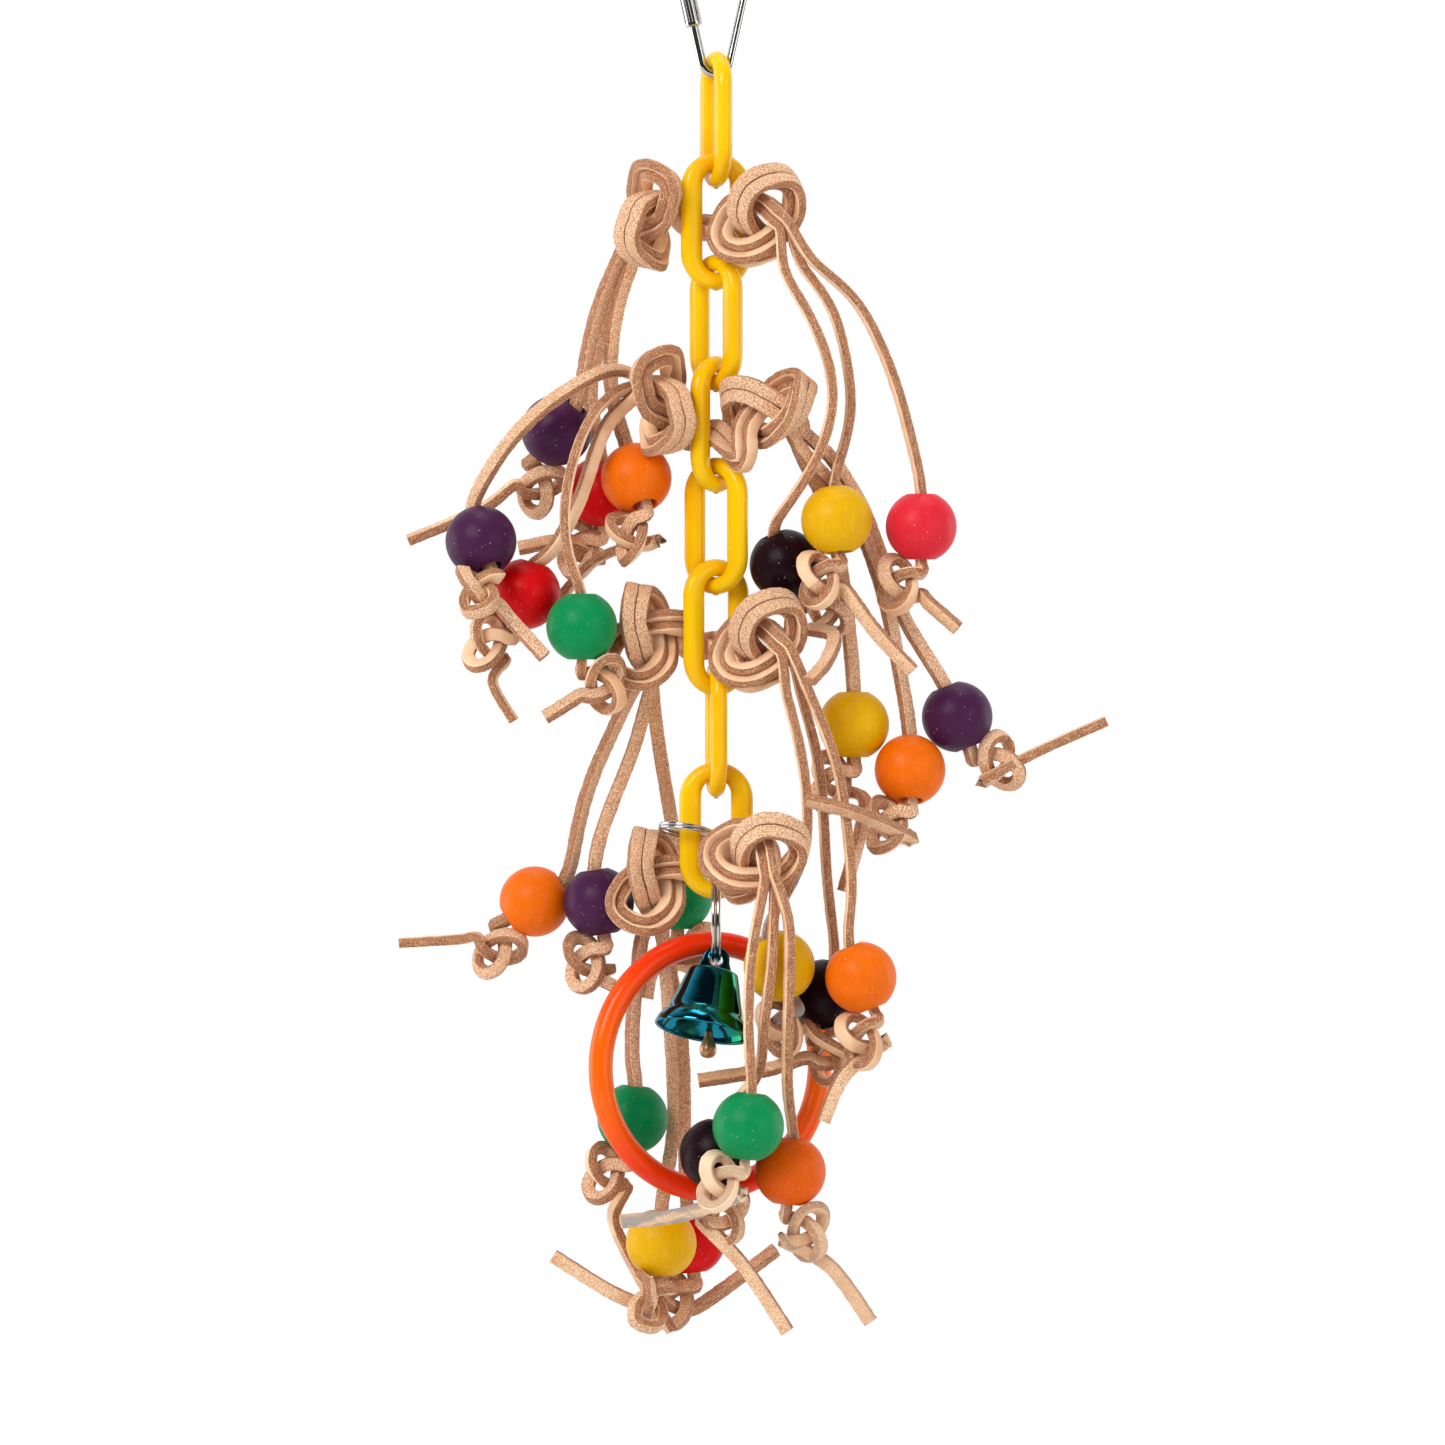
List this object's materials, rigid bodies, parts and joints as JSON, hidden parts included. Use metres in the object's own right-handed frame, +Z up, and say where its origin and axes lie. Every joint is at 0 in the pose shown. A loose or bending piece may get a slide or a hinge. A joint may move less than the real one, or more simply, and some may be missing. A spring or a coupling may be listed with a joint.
{
  "type": "hanging bird chew toy",
  "caption": "Hanging bird chew toy: plastic chain on a quick link, knotted leather laces with dyed wooden beads, a small bell and a plastic ring.",
  "frame": {"origin": "the hang point, where a hook carries the quick link, inside the top of its wire", "axes": "+Z up along the hanging chain, -Y towards the viewer of the main picture, +X to that viewer's right"},
  "size_m": [0.2007, 0.0845, 0.4049],
  "materials": {
    "nickel": "polished nickel plate",
    "chain_yellow": "moulded plastic, glossy, slightly translucent",
    "leather": "vegetable tanned lace, smooth on one side and rough on the other",
    "bead_purple": "dyed wood, satin",
    "bead_orange": "dyed wood, satin",
    "bead_red": "dyed wood, satin",
    "bead_green": "dyed wood, satin",
    "bead_yellow": "dyed wood, satin",
    "teal_chrome": "coloured metallic plating",
    "clapper": "dull",
    "ring_orange": "moulded plastic, glossy, slightly translucent"
  },
  "bodies": {
    "hanger": {"quick_link": "nickel"},
    "nut": {"quick_link_nut": "nickel"},
    "top_link": {"chain_link_1": "chain_yellow"},
    "strand": {"chain_link_2": "chain_yellow", "chain_link_3": "chain_yellow", "chain_link_4": "chain_yellow", "chain_link_5": "chain_yellow", "chain_link_6": "chain_yellow", "chain_link_7": "chain_yellow", "chain_link_8": "chain_yellow", "lace_1a": "leather", "lace_1b": "leather", "lace_1c": "leather", "lace_2a": "leather", "lace_2b": "leather", "lace_2c": "leather", "lace_3a": "leather", "lace_3b": "leather", "lace_3c": "leather", "lace_4a": "leather", "lace_4b": "leather", "lace_4c": "leather", "bead_1a_left": "bead_purple", "bead_1b_left": "bead_orange", "bead_1c_left": "bead_red", "bead_1a_right": "bead_yellow", "bead_1b_right": "bead_red", "bead_1c_right": "bead_purple", "bead_2a_left": "bead_green", "bead_2b_left": "bead_purple", "bead_2c_left": "bead_red", "bead_2a_right": "bead_purple", "bead_2b_right": "bead_orange", "bead_2c_right": "bead_yellow", "bead_3a_left": "bead_orange", "bead_3b_left": "bead_purple", "bead_3c_left": "bead_green", "bead_3a_right": "bead_purple", "bead_3b_right": "bead_orange", "bead_3c_right": "bead_yellow", "bead_4a_left": "bead_green", "bead_4b_left": "bead_yellow", "bead_4c_left": "bead_red", "bead_4a_right": "bead_purple", "bead_4b_right": "bead_orange", "bead_4c_right": "bead_green", "keeper_ring": "nickel"},
    "carrier": {"carrier_ring": "nickel"},
    "bell": {"bell": "teal_chrome"},
    "clapper": {"bell_clapper": "clapper"},
    "play_ring": {"play_ring": "ring_orange"}
  },
  "joints": [
    {"name": "nut_slide", "type": "slide", "parent": "hanger", "child": "nut", "axis": [-0.2154, 0, 0.9765], "range_m": [0, 0.008]},
    {"name": "top_link_swing", "type": "hinge", "parent": "hanger", "child": "top_link", "pos_m": [0, 0, -0.04625], "axis": [1, 0, 0], "range_deg": [-14, 14]},
    {"name": "chain_swing", "type": "hinge", "parent": "top_link", "child": "strand", "pos_m": [0, 0, -0.07598], "axis": [0.2756, -0.9613, 0], "range_deg": [-45, 45]},
    {"name": "carrier_swing", "type": "hinge", "parent": "strand", "child": "carrier", "pos_m": [0, 0, -0.27618], "axis": [1, 0, 0], "range_deg": [-3, 5]},
    {"name": "bell_swing", "type": "hinge", "parent": "carrier", "child": "bell", "pos_m": [0, -0.0045, -0.29551], "axis": [0, 0.9244, -0.3813], "range_deg": [-6, 15]},
    {"name": "clapper_swing", "type": "hinge", "parent": "bell", "child": "clapper", "pos_m": [-0.00119, -0.00605, -0.3018], "axis": [-0.0462, 0.9703, -0.2375], "range_deg": [-18, 25]},
    {"name": "play_ring_turn", "type": "hinge", "parent": "carrier", "child": "play_ring", "pos_m": [-0.00152, 0.00173, -0.32574], "axis": [-0.454, 0.891, 0], "continuous": true}
  ]
}
